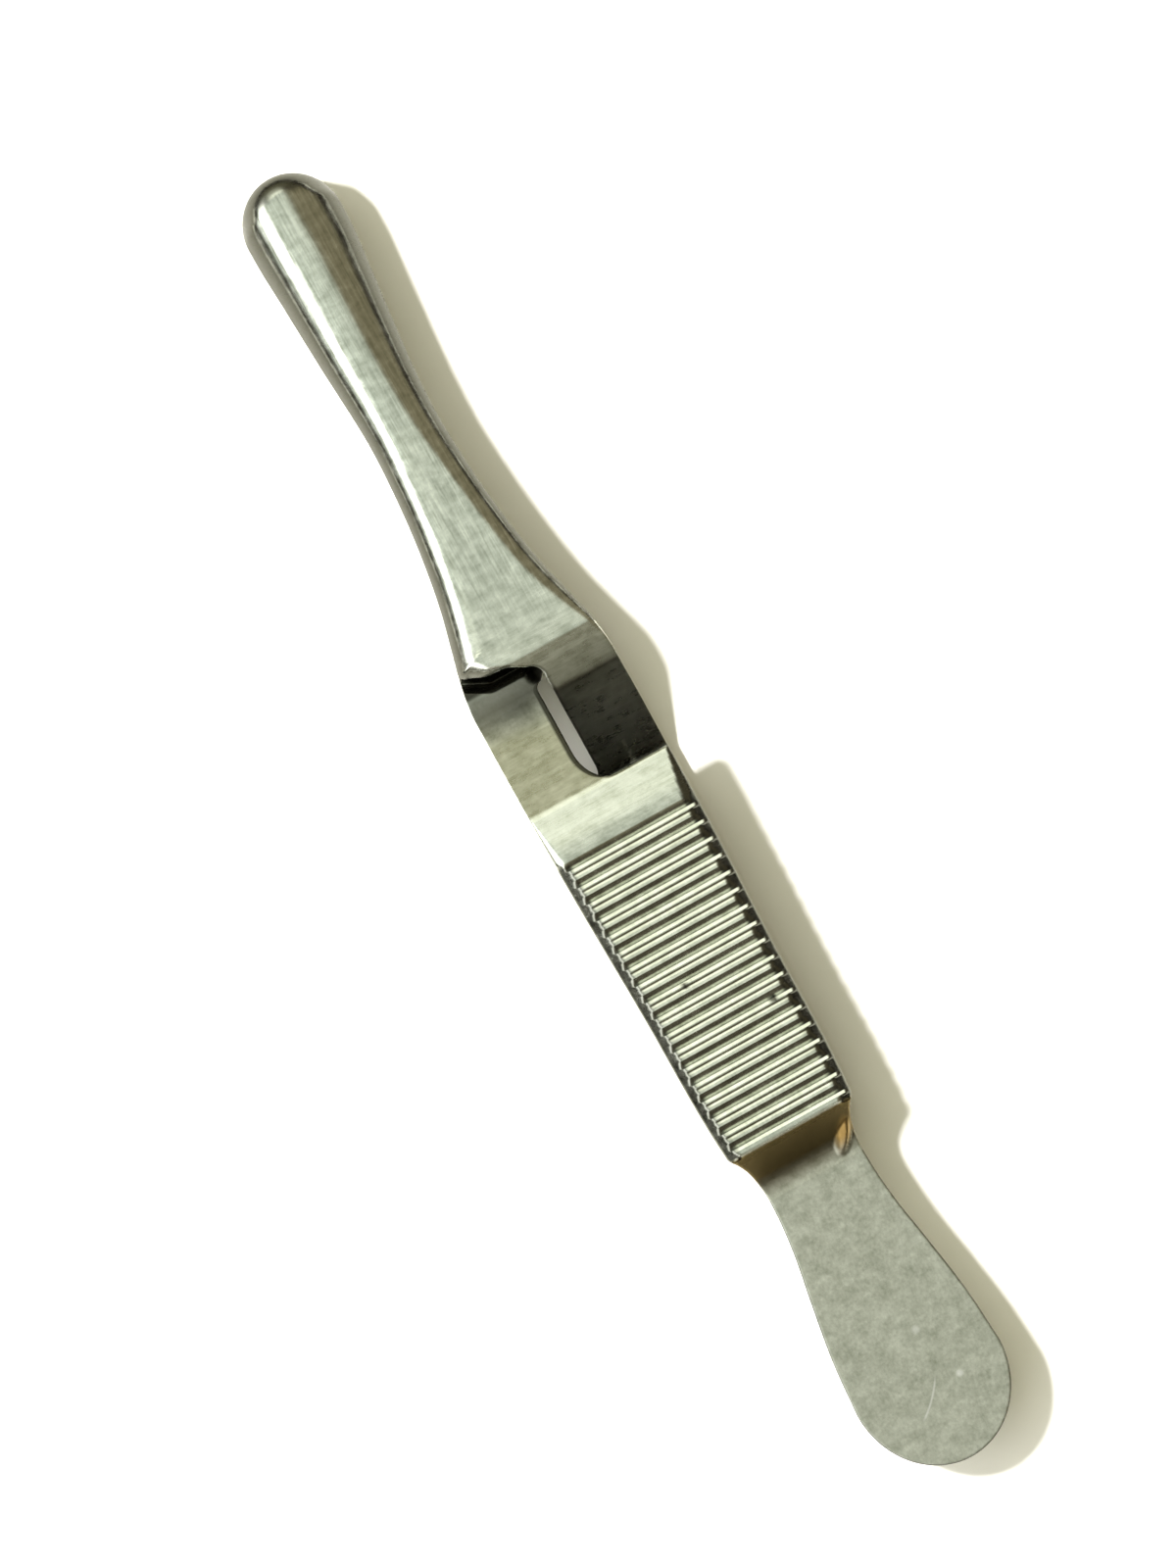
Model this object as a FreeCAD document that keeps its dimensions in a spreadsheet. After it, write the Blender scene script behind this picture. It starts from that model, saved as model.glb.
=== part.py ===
"""A bulldog clamp of the cross-action kind, in millimetres.

It is made of two steel arms of one form. Each arm runs from a flat tail paddle, up a step to a
ribbed grip, down through a notch in the other arm, and out to a jaw on the far side. The second
arm is the first turned half a turn about the long axis. Squeezing the grips opens the jaws, and
the spring of the steel closes them.

One arm is drawn with x from the tail's end to the jaw's tip, y across and z up from the plane
where the two arms meet, so its grip is above that plane and its jaw below it.
"""

import FreeCAD, Part
import os

import Sketcher

SIZES = {
    # Lengths along the arm, from the tail to the tip
    "paddle_length": "11.5",
    "grip_length": "13.72",
    "crossing_length": "4.98",
    "jaw_length": "18.54",
    # Heights from the plane where the arms meet, and thicknesses
    "grip_height": "2.4",
    "plate_thickness": "0.95",
    "paddle_thickness": "0.9",
    "jaw_root_height": "2.0",
    "jaw_shoulder_height": "1.9",
    "jaw_waist_height": "1.75",
    "jaw_tip_height": "1.75",
    # Widths across the arm
    "paddle_width": "5.56",
    "neck_width": "3.66",
    "grip_rear_width": "4.84",
    "crossing_width": "5.4",
    "jaw_root_width": "5.1",
    "jaw_shoulder_width": "3.78",
    "jaw_waist_width": "2.56",
    "jaw_swell_width": "2.88",
    "jaw_tip_width": "3.56",
    # The step from the paddle up to the grip, in degrees and millimetres
    "step_angle": "50",
    "step_radius": "1.07",
    "neck_setback": "0.45",
    # Bends of the tongue that goes down to the other side
    "bend_radius": "0.5",
    "inner_bend_radius": "0.3",
    "throat_landing": "1.14",
    "throat_radius": "2.4",
    "heel_length": "1.58",
    "heel_drop": "0.51",
    "heel_setback": "0.12",
    "root_flare": "0.9",
    # Round edges of the jaw's outer face, at each section
    "root_corner": "0.98",
    "shoulder_corner": "0.91",
    "waist_corner": "1.08",
    "swell_corner": "1.33",
    "tip_corner": "1.68",
    # Places of the jaw's sections, from its root, and its nose
    "shoulder_station": "2.95",
    "waist_station": "8.85",
    "nose_length": "1.55",
    "nose_rounding": "0.95",
    # The notch that lets the other arm's tongue through
    "tongue_gap": "0.68",
    "notch_radius": "0.75",
    "relief_radius": "0.27",
    "notch_front_setback": "0.4",
    "notch_front_slant": "0.5",
    # Ribs across the grip, and the bevels along its edges
    "rib_pitch": "0.651",
    "groove_width": "0.4",
    "groove_depth": "0.2",
    "rear_land": "0.41",
    "front_land": "2.24",
    "bevel_width": "0.45",
    "bevel_depth": "0.25",
    "bevel_runout": "0.03",
    # Fine teeth across the jaw's inner face
    "tooth_pitch": "0.6",
    "tooth_groove_width": "0.34",
    "tooth_groove_depth": "0.14",
    "tooth_start": "2.0",
    "tooth_end": "1.2",
}

# Stations along the arm, worked out from the sizes
STEP_RISE = "(Sizes.grip_height - Sizes.paddle_thickness)"
STEP_TOP = f"(Sizes.paddle_length + {STEP_RISE} / tan(Sizes.step_angle))"
GRIP_END = f"({STEP_TOP} + Sizes.grip_length)"
FOLD = f"({GRIP_END} + Sizes.crossing_length)"
TIP = f"({FOLD} + Sizes.jaw_length)"
RIBS_END = f"({GRIP_END} - Sizes.front_land)"

# Corners of the arm's inner face at the step, where it leaves the meeting plane
GRIP_INSIDE = "(Sizes.grip_height - Sizes.plate_thickness)"
STEP_INNER_TOP = f"({STEP_TOP} + Sizes.plate_thickness * tan(Sizes.step_angle / 2))"
STEP_INNER_FOOT = f"({STEP_INNER_TOP} - {GRIP_INSIDE} / tan(Sizes.step_angle))"

# How far a cutting outline reaches past the steel
OVERRUN = "1"
WIDEST = "max(Sizes.paddle_width; Sizes.crossing_width; Sizes.jaw_root_width; Sizes.jaw_tip_width)"
CLEAR_OF_SIDE = f"({WIDEST} / 2 + {OVERRUN})"

# The largest share of a wall's half width or height that a round edge may take
WALL_SHARE = "0.96"


def make_sheet(doc):
    """Puts the driving dimensions in a sheet, one named cell each."""
    sheet = doc.addObject("Spreadsheet::Sheet", "Sizes")
    for row, (alias, number) in enumerate(SIZES.items(), start=1):
        sheet.set(f"B{row}", number)
        sheet.setAlias(f"B{row}", alias)
    doc.recompute()
    return sheet


def origin_feature(body, role):
    """The body's own origin plane or axis of that role."""
    return [feature for feature in body.Origin.OriginFeatures if feature.Role == role][0]


def sketch_on(body, role, name, offset=None):
    """An empty sketch on one of the body's origin planes, moved along its normal by offset."""
    sketch = body.newObject("Sketcher::SketchObject", name)
    sketch.AttachmentSupport = [(origin_feature(body, role), "")]
    sketch.MapMode = "FlatFace"
    if offset:
        sketch.setExpression("AttachmentOffset.Base.z", offset)
    return sketch


def value(sketch, expression):
    """The number that an expression gives now."""
    return float(sketch.evalExpression(expression))


def bind(sketch, constraint, expression):
    """Adds a dimension to the sketch and binds it to an expression."""
    index = sketch.addConstraint(constraint)
    sketch.setExpression(f"Constraints[{index}]", expression)


def middle_of_arc(start, end, radius, turn):
    """The middle point of the minor arc from start to end. It turns left if turn is 1."""
    chord = end - start
    normal = FreeCAD.Vector(-chord.y, chord.x, 0).normalize() * turn
    to_centre = (radius**2 - (chord.Length / 2) ** 2) ** 0.5
    centre = (start + end) / 2 + normal * to_centre
    return centre - normal * radius


def draw_outline(sketch, corners):
    """Draws a closed outline whose corners and radii are bound to expressions.

    A corner is (x, y), (x, y, arc) or (x, y, None, round). The third entry makes the edge from
    this corner to the next an arc and holds (radius, turn). The fourth rounds the corner
    between two straight edges by that radius.
    """
    corners = [tuple(corner) + (None,) * (4 - len(corner)) for corner in corners]
    points = [FreeCAD.Vector(value(sketch, x), value(sketch, y), 0) for x, y, _, _ in corners]
    count = len(corners)
    for edge, (_, _, arc, _) in enumerate(corners):
        start = points[edge]
        end = points[(edge + 1) % count]
        if arc:
            radius, turn = arc
            middle = middle_of_arc(start, end, value(sketch, radius), turn)
            sketch.addGeometry(Part.Arc(start, middle, end), False)
        else:
            sketch.addGeometry(Part.LineSegment(start, end), False)

    # An arc that turns right is stored the other way round, so its start is its second end.
    ends = []
    for _, _, arc, _ in corners:
        ends.append((2, 1) if arc and arc[1] < 0 else (1, 2))
    for edge in range(count):
        following = (edge + 1) % count
        sketch.addConstraint(
            Sketcher.Constraint("Coincident", edge, ends[edge][1], following, ends[following][0])
        )
    for edge, (x, y, arc, _) in enumerate(corners):
        place = (-1, 1, edge, ends[edge][0])
        bind(sketch, Sketcher.Constraint("DistanceX", *place, points[edge].x), x)
        bind(sketch, Sketcher.Constraint("DistanceY", *place, points[edge].y), y)
        if arc:
            radius = arc[0]
            bind(sketch, Sketcher.Constraint("Radius", edge, value(sketch, radius)), radius)
    for edge, (_, _, _, rounding) in enumerate(corners):
        if rounding:
            round_corner(sketch, edge, ends[edge][0], rounding)


def round_corner(sketch, edge, end, radius):
    """Rounds the corner at one end of an edge and keeps the corner's own place."""
    before = len(sketch.Geometry)
    sketch.fillet(edge, end, value(sketch, radius), True, True)
    added = range(before, len(sketch.Geometry))
    arc = [index for index in added if isinstance(sketch.Geometry[index], Part.ArcOfCircle)][-1]
    bind(sketch, Sketcher.Constraint("Radius", arc, value(sketch, radius)), radius)


def tangent_arc(run, rise):
    """The radius of an arc that starts along a line and leaves it by rise over run."""
    return f"((({run})^2 + ({rise})^2) / (2 * ({rise})))"


def cut_through(body, sketch, name):
    """Cuts a sketch's outline through the whole arm, both ways from its plane."""
    pocket = body.newObject("PartDesign::Pocket", name)
    pocket.Profile = sketch
    pocket.Type = "ThroughAll"
    pocket.Midplane = True
    return pocket


def repeat_along_arm(body, original, name, pitch, occurrences):
    """Repeats a cut towards the jaw's tip at the given pitch."""
    pattern = body.newObject("PartDesign::LinearPattern", name)
    pattern.Originals = [original]
    pattern.Direction = (origin_feature(body, "X_Axis"), [""])
    pattern.Mode = "Spacing"
    pattern.setExpression("Offset", pitch)
    pattern.setExpression("Occurrences", occurrences)
    body.Tip = pattern
    return pattern


def add_plate(body):
    """The bent plate seen from the side: paddle, step, grip and the tongue down to the jaw."""
    sketch = sketch_on(body, "XZ_Plane", "side_profile")
    draw_outline(
        sketch,
        [
            ("0", "0"),
            (STEP_INNER_FOOT, "0", None, "Sizes.inner_bend_radius"),
            (STEP_INNER_TOP, GRIP_INSIDE, None, "Sizes.inner_bend_radius"),
            (f"{GRIP_END} + Sizes.heel_setback", GRIP_INSIDE, None, "Sizes.inner_bend_radius"),
            (
                f"{FOLD} - Sizes.heel_length",
                "Sizes.heel_drop - Sizes.jaw_root_height",
                None,
                "Sizes.bend_radius",
            ),
            (FOLD, "-Sizes.jaw_root_height"),
            (FOLD, "0"),
            (f"{FOLD} - Sizes.throat_landing", "0", None, "Sizes.throat_radius"),
            (GRIP_END, "Sizes.grip_height", None, "Sizes.bend_radius"),
            (STEP_TOP, "Sizes.grip_height"),
            ("Sizes.paddle_length", "Sizes.paddle_thickness", None, "Sizes.step_radius"),
            ("0", "Sizes.paddle_thickness"),
        ],
    )
    pad = body.newObject("PartDesign::Pad", "plate")
    pad.Profile = sketch
    pad.Midplane = True
    pad.setExpression("Length", WIDEST)


def trim_sides(body):
    """Cuts the plate to its outline seen from above, from the round tail to the jaw's root."""
    paddle_half = "Sizes.paddle_width / 2"
    neck = "Sizes.paddle_length - Sizes.neck_setback"
    neck_half = "Sizes.neck_width / 2"
    flare_run = f"({neck} - {paddle_half})"
    flare_rise = f"({paddle_half} - {neck_half})"
    flare_middle = f"({neck} + {paddle_half}) / 2"
    flare_middle_half = f"({paddle_half} + {neck_half}) / 2"
    flare = tangent_arc(f"{flare_run} / 2", f"{flare_rise} / 2")
    grip_rear_half = "Sizes.grip_rear_width / 2"
    shoulder = tangent_arc(f"{STEP_TOP} - ({neck})", f"{grip_rear_half} - {neck_half}")
    crossing_half = "Sizes.crossing_width / 2"
    root_half = "Sizes.jaw_root_width / 2"
    side = [
        (paddle_half, paddle_half),
        (flare_middle, flare_middle_half),
        (neck, neck_half),
        (STEP_TOP, grip_rear_half),
        (RIBS_END, crossing_half),
        (f"{FOLD} - Sizes.root_flare", crossing_half),
        (FOLD, root_half),
    ]
    # Edges of the left side, from the tail to the jaw; on the right side they run back.
    arcs = [(flare, -1), (flare, 1), (shoulder, 1), None, None, None]
    left = [(x, half, arc) for (x, half), arc in zip(side, arcs + [None])]
    right = []
    for index in range(len(side) - 1, -1, -1):
        arc = arcs[index - 1] if index > 0 else (paddle_half, -1)
        right.append((side[index][0], f"-({side[index][1]})", arc))
    tail = ("0", "0", (paddle_half, -1))
    frame = [
        (FOLD, CLEAR_OF_SIDE),
        (f"-{OVERRUN}", CLEAR_OF_SIDE),
        (f"-{OVERRUN}", f"-{CLEAR_OF_SIDE}"),
        (FOLD, f"-{CLEAR_OF_SIDE}"),
    ]
    sketch = sketch_on(body, "XY_Plane", "plan_outline")
    draw_outline(sketch, right + [tail] + left + frame)
    cut_through(body, sketch, "sides")


def jaw_section(body, name, station, width, height, corner):
    """One section across the jaw: flat inside, with two round outer edges."""
    half = f"Sizes.{width} / 2"
    low = f"-Sizes.{height}"
    limit = f"{WALL_SHARE} * min({half}; Sizes.{height})"
    rounding = f"min(Sizes.{corner}; {limit})"
    sketch = sketch_on(body, "YZ_Plane", name, station)
    draw_outline(
        sketch,
        [
            (f"-{half}", "0"),
            (f"-{half}", low, None, rounding),
            (half, low, None, rounding),
            (half, "0"),
        ],
    )
    return sketch


def add_jaw(body):
    """The jaw, from its broad flat root through a narrow waist to a half-round tip."""
    waist = f"{FOLD} + Sizes.waist_station"
    nose = f"{TIP} - Sizes.nose_length"
    stations = [
        ("root", FOLD, "jaw_root_width", "jaw_root_height", "root_corner"),
        (
            "shoulder",
            f"{FOLD} + Sizes.shoulder_station",
            "jaw_shoulder_width",
            "jaw_shoulder_height",
            "shoulder_corner",
        ),
        ("waist", waist, "jaw_waist_width", "jaw_waist_height", "waist_corner"),
        ("swell", f"({waist} + {nose}) / 2", "jaw_swell_width", "jaw_waist_height", "swell_corner"),
        ("nose", nose, "jaw_tip_width", "jaw_tip_height", "tip_corner"),
        ("tip", TIP, "jaw_tip_width", "jaw_tip_height", "tip_corner"),
    ]
    sections = [jaw_section(body, f"section_{name}", *rest) for name, *rest in stations]
    loft = body.newObject("PartDesign::AdditiveLoft", "jaw")
    loft.Profile = sections[0]
    loft.Sections = sections[1:]


def round_nose(body):
    """Rounds the jaw's end, seen from above and from the side."""
    nose = f"{TIP} - Sizes.nose_length"
    half = "Sizes.jaw_tip_width / 2"
    end_arc = tangent_arc(half, "Sizes.nose_length")
    past_tip = f"{TIP} + {OVERRUN}"
    plan = sketch_on(body, "XY_Plane", "nose_plan")
    draw_outline(
        plan,
        [
            (nose, f"-{half}", (end_arc, 1)),
            (TIP, "0", (end_arc, 1)),
            (nose, half),
            (nose, CLEAR_OF_SIDE),
            (past_tip, CLEAR_OF_SIDE),
            (past_tip, f"-{CLEAR_OF_SIDE}"),
            (nose, f"-{CLEAR_OF_SIDE}"),
        ],
    )
    cut_through(body, plan, "nose_from_above")

    low = "-Sizes.jaw_tip_height"
    side = sketch_on(body, "XZ_Plane", "nose_side")
    draw_outline(
        side,
        [
            (f"{TIP} - Sizes.nose_rounding", low, ("Sizes.nose_rounding", 1)),
            (TIP, f"{low} + Sizes.nose_rounding"),
            (past_tip, f"{low} + Sizes.nose_rounding"),
            (past_tip, f"{low} - {OVERRUN}"),
            (f"{TIP} - Sizes.nose_rounding", f"{low} - {OVERRUN}"),
        ],
    )
    cut_through(body, side, "nose_from_side")


def cut_notch(body):
    """The notch beside the tongue, where the other arm passes through."""
    gap_half = "Sizes.tongue_gap / 2"
    front = f"{FOLD} - Sizes.notch_front_setback"
    sketch = sketch_on(body, "XY_Plane", "notch_outline")
    draw_outline(
        sketch,
        [
            (GRIP_END, f"-{CLEAR_OF_SIDE}"),
            (f"{front} + Sizes.notch_front_slant", f"-{CLEAR_OF_SIDE}"),
            (front, gap_half, None, "Sizes.relief_radius"),
            (GRIP_END, gap_half, None, "Sizes.notch_radius"),
        ],
    )
    cut_through(body, sketch, "notch")


def cut_bevels(body):
    """Bevels along the grip's two outer edges. They run out to nothing at the smooth land."""
    top = "Sizes.grip_height"
    rear = STEP_TOP
    sections = []
    stations = [
        ("start", GRIP_END, "crossing_width", "Sizes.bevel_runout"),
        ("full", RIBS_END, "crossing_width", "Sizes.bevel_width"),
        ("rear", rear, "grip_rear_width", "Sizes.bevel_width"),
    ]
    for name, station, width, reach in stations:
        edge = f"Sizes.{width} / 2"
        drop = f"{reach} * Sizes.bevel_depth / Sizes.bevel_width"
        sketch = sketch_on(body, "YZ_Plane", f"bevel_{name}", station)
        draw_outline(
            sketch,
            [
                (f"{edge} - {reach}", top),
                (f"{edge} + {reach}", f"{top} - 2 * {drop}"),
                (f"{edge} + {reach}", f"{top} + {drop}"),
            ],
        )
        sections.append(sketch)
    loft = body.newObject("PartDesign::SubtractiveLoft", "bevel")
    loft.Profile = sections[0]
    loft.Sections = sections[1:]
    loft.Ruled = True
    mirrored = body.newObject("PartDesign::Mirrored", "both_bevels")
    mirrored.Originals = [loft]
    mirrored.MirrorPlane = (origin_feature(body, "XZ_Plane"), [""])
    body.Tip = mirrored


def cut_groove(body, name, centre, face, width, depth, away):
    """A V-shaped groove across a face. The sketch goes on past the face by the groove's depth."""
    sketch = sketch_on(body, "XZ_Plane", f"{name}_profile")
    draw_outline(
        sketch,
        [
            (f"{centre} - {width}", f"{face} + {away} * {depth}"),
            (f"{centre} + {width}", f"{face} + {away} * {depth}"),
            (centre, f"{face} - {away} * {depth}"),
        ],
    )
    return cut_through(body, sketch, name)


def cut_ribs(body):
    """Grooves across the grip that leave flat-topped ribs for the fingers."""
    room = "(Sizes.grip_length - Sizes.rear_land - Sizes.front_land)"
    groove = cut_groove(
        body,
        "rib_groove",
        f"{STEP_TOP} + Sizes.rear_land",
        "Sizes.grip_height",
        "Sizes.groove_width",
        "Sizes.groove_depth",
        "1",
    )
    repeat_along_arm(
        body, groove, "ribs", "Sizes.rib_pitch", f"floor({room} / Sizes.rib_pitch) + 1"
    )


def cut_teeth(body):
    """Fine grooves across the jaw's inner face."""
    room = "(Sizes.jaw_length - Sizes.tooth_start - Sizes.tooth_end)"
    groove = cut_groove(
        body,
        "tooth_groove",
        f"{FOLD} + Sizes.tooth_start",
        "0",
        "Sizes.tooth_groove_width",
        "Sizes.tooth_groove_depth",
        "1",
    )
    repeat_along_arm(
        body, groove, "teeth", "Sizes.tooth_pitch", f"floor({room} / Sizes.tooth_pitch) + 1"
    )


def make_arm(doc, name, turn_about_length):
    """One whole arm, turned about the long axis and lifted so that the lower grip rests at z 0."""
    body = doc.addObject("PartDesign::Body", name)
    body.Label = name
    add_plate(body)
    trim_sides(body)
    add_jaw(body)
    round_nose(body)
    cut_notch(body)
    cut_bevels(body)
    cut_ribs(body)
    cut_teeth(body)
    body.Placement.Rotation = FreeCAD.Rotation(FreeCAD.Vector(1, 0, 0), turn_about_length)
    body.setExpression("Placement.Base.x", f"-{TIP} / 2")
    body.setExpression("Placement.Base.z", "Sizes.grip_height")
    return body


def check(doc, arms):
    """Stops if anything failed to build."""
    for item in doc.Objects:
        if {"Invalid", "Error"} & set(item.State):
            raise RuntimeError(f"{item.Name} failed: {item.State}")
    for arm in arms:
        if arm.Shape.isNull() or not arm.Shape.isValid() or len(arm.Shape.Solids) != 1:
            raise RuntimeError(f"{arm.Label} isn't one valid solid")


def main():
    doc = FreeCAD.newDocument("bulldog_clamp")
    make_sheet(doc)
    arms = [
        make_arm(doc, "upper_arm", 0),
        make_arm(doc, "lower_arm", 180),
    ]
    doc.recompute()
    check(doc, arms)
    os.makedirs("parts", exist_ok=True)
    for arm in arms:
        arm.Shape.exportStep(f"parts/{arm.Label}.step")
        print(arm.Label, "volume", round(arm.Shape.Volume, 3), arm.Shape.BoundBox)


main()
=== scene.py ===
"""Looks of a small cross-action bulldog clamp: two bent and ground strips of stainless steel."""
import math

import bpy
import numpy as np
from mathutils import Matrix, Vector


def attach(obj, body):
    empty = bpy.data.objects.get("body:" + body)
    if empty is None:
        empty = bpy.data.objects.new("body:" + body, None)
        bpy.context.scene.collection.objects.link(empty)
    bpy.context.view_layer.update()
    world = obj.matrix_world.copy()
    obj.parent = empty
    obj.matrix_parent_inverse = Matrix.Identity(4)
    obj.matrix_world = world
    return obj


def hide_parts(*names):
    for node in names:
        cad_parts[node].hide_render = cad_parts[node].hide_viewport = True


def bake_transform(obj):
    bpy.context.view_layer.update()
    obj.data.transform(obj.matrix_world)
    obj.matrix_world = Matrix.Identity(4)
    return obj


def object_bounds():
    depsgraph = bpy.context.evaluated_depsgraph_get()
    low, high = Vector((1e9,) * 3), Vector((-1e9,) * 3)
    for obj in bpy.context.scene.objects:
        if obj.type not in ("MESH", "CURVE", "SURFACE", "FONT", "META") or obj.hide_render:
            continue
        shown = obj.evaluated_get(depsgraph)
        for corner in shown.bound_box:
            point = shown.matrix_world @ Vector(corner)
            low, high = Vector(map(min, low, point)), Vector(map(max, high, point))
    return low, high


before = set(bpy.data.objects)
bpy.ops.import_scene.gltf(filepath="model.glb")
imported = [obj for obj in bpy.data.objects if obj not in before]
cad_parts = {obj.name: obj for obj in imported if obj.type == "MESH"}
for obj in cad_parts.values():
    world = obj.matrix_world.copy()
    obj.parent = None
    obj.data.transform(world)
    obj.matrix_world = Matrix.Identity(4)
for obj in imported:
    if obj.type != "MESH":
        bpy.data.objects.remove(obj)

bl_info = {
    "name": "Bulldog clamp",
    "version": (1, 0, 0),
    "blender": (4, 5, 0),
    "location": "View3D > Sidebar > Clamp",
    "description": "Builds a small cross-action bulldog clamp with its stage",
    "category": "Object",
}

CAD_BOX = [list(corner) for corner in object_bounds()]
MM = 0.001

# Sizes in mm. Stations along the clamp run from the tail at -25 to the tip at +25, heights
# count from the plane in which both arms meet.
TAIL = CAD_BOX[0][0] / MM
TIP = CAD_BOX[1][0] / MM
MEETING = (CAD_BOX[0][2] + CAD_BOX[1][2]) / 2 / MM
PADDLE_HALF = CAD_BOX[1][1] / MM - 0.004
TAIL_LENGTH = 3.129
PADDLE_ROUND = TAIL + TAIL_LENGTH
NECK = -13.8
STEP_FOOT, STEP_TOP = -13.4, -12.09
INNER_FOOT, INNER_TOP = -13.01, -11.80
REAR_GROOVE, GROOVE_PITCH, GROOVES = -11.765, 0.651, 18
RIBS_END = REAR_GROOVE + GROOVE_PITCH * (GROOVES - 1) + 0.2
GRIP_END = 1.43
SLOPE_FOOT = 5.32
NOTCH_FRONT = 6.09
FOOT_GROOVE = 6.21
FOLD = 6.46
NOTCH_FOOT = 6.71
TOOTH_PITCH = 0.6
TOOTH_FIRST = FOLD + 2.0 + 0.17
TEETH = int((TIP - 1.2 - TOOTH_FIRST) / TOOTH_PITCH)
NOSE_HALF = 1.783
NOSE_CENTRE = TIP - NOSE_HALF
PADDLE_TOP, GRIP_TOP, GRIP_UNDER, JAW_DEPTH = 0.9, 2.398, 1.45, 1.755
# How far the jaws lean to the right of the clamp's middle line.
LEAN = 0.13
# Middle and half lengths of the braze, along and across it.
BRAZE_X, BRAZE_Y, BRAZE_ALONG, BRAZE_ACROSS = -13.2, -1.47, 0.62, 0.22

# Half the clamp's width at stations from the tail's round end to the nose's centre.
HALF_WIDTHS = [
    (PADDLE_ROUND, PADDLE_HALF), (-19.9, 2.62), (-17.83, 2.30), (-15.8, 1.96), (-14.5, 1.845),
    (NECK, 1.835), (-13.22, 1.90), (-12.69, 2.03), (-12.35, 2.20), (-12.05, 2.41),
    (-11.8, 2.432), (-6.2, 2.56), (-0.67, 2.692), (1.5, 2.70), (4.6, 2.70), (5.55, 2.685),
    (FOLD, 2.56), (7.7, 2.255), (9.08, 1.918), (11.2, 1.565), (13.46, 1.35), (15.31, 1.282),
    (16.8, 1.345), (18.51, 1.475), (20.9, 1.66), (22.5, 1.775), (NOSE_CENTRE, NOSE_HALF),
]

# Side view of an arm's two surfaces: corners as station, height and radius.
GRIP_LINE = [
    (TAIL - 1, PADDLE_TOP, 0), (STEP_FOOT, PADDLE_TOP, 1.07), (STEP_TOP, GRIP_TOP, 0.06),
    (RIBS_END + 0.4, GRIP_TOP, 7.0), (GRIP_END - 0.02, 2.22, 0.7),
    (SLOPE_FOOT + 0.05, -0.03, 1.5), (SLOPE_FOOT + 0.6, 0, 0.3), (TIP + 1, 0, 0),
]
JAW_LINE = [
    (TAIL - 1, 0, 0), (INNER_FOOT, 0, 0.3), (INNER_TOP, GRIP_UNDER, 0.3),
    (GRIP_END + 0.12, GRIP_UNDER, 0.3), (FOLD - 1.58, -1.49, 0.5), (FOLD, -2.0, 0.25),
    (9.6, -1.9, 6.0), (15.3, -JAW_DEPTH, 9.0), (TIP + 1, -JAW_DEPTH, 0),
]

# Radii of the rims at stations: the outer grip side's, the jaw side's, and the jaw side's on
# the notched side past the notch.
GRIP_RIMS = [
    (TAIL, 0.06), (-16, 0.06), (NECK, 0.06), (STEP_TOP, 0.05), (GRIP_END, 0.035), (TIP, 0.035),
]
JAW_RIMS = [
    (TAIL, 0.05), (FOLD - 1.6, 0.05), (FOLD - 0.6, 0.09), (FOLD, 0.2), (7.0, 0.32),
    (7.67, 0.44), (8.75, 0.6), (11.0, 0.7), (13.46, 0.82), (15.3, 1.0), (18.5, 1.36),
    (22.0, 1.68), (NOSE_CENTRE, 1.74), (TIP, 1.74),
]
NOTCHED_JAW_RIMS = [
    (6.5, 0.98), (7.4, 1.0), (8.75, 1.02), (13.46, 1.04), (15.3, 1.15), (18.5, 1.42), (22, 1.72),
]

# A rib's profile round its deep groove's centre: distances and shares of the groove's depth.
RIB_AWAY = [-0.426, -0.33, -0.262, -0.19, -0.155, -0.05, -0.01, 0.225]
RIB_SHARE = [0, 0.06, 0.24, 0, 0, 0.21, 1, 0]

# Rows of vertices round every groove's and every tooth groove's centre, on both sides of each
# corner of the profile.
RIB_ROWS = (
    -0.424, -0.332, -0.328, -0.264, -0.26, -0.192, -0.188, -0.157,
    -0.153, -0.1, -0.052, -0.048, -0.012, -0.008, 0.11, 0.223,
)
TOOTH_ROWS = (-0.182, -0.158, -0.012, 0.012, 0.158, 0.182, 0.3)

# Each arm's notch: y of its inner side, length of its rear corner, where its front wall
# starts, and that corner's radius.
UPPER_NOTCH = (0.29, 1.3, NOTCH_FRONT - 0.62, 0.3)
LOWER_NOTCH = (0.19, 0.55, NOTCH_FRONT, 0.5)
OUTER_CORNER = 0.1
FOOT_CORNER = 0.27

# On the jaws the rim's circle ends at this share of its radius, with this slope.
STEEP_SHARE, STEEP_SLOPE = 0.91, 2.195


def linear(hex_colour):
    """An sRGB hex colour as linear red, green, blue and alpha."""
    value = hex_colour.lstrip("#")
    srgb = [int(value[i : i + 2], 16) / 255 for i in (0, 2, 4)]
    return [c / 12.92 if c <= 0.04045 else ((c + 0.055) / 1.055) ** 2.4 for c in srgb] + [1.0]


# ---------------------------------------------------------------- curves in side view and plan


def smooth_step(x, low, high):
    """0 below low, 1 above high, 3t^2 - 2t^3 between."""
    t = np.clip((x - low) / (high - low), 0, 1)
    return t * t * (3 - 2 * t)


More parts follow.
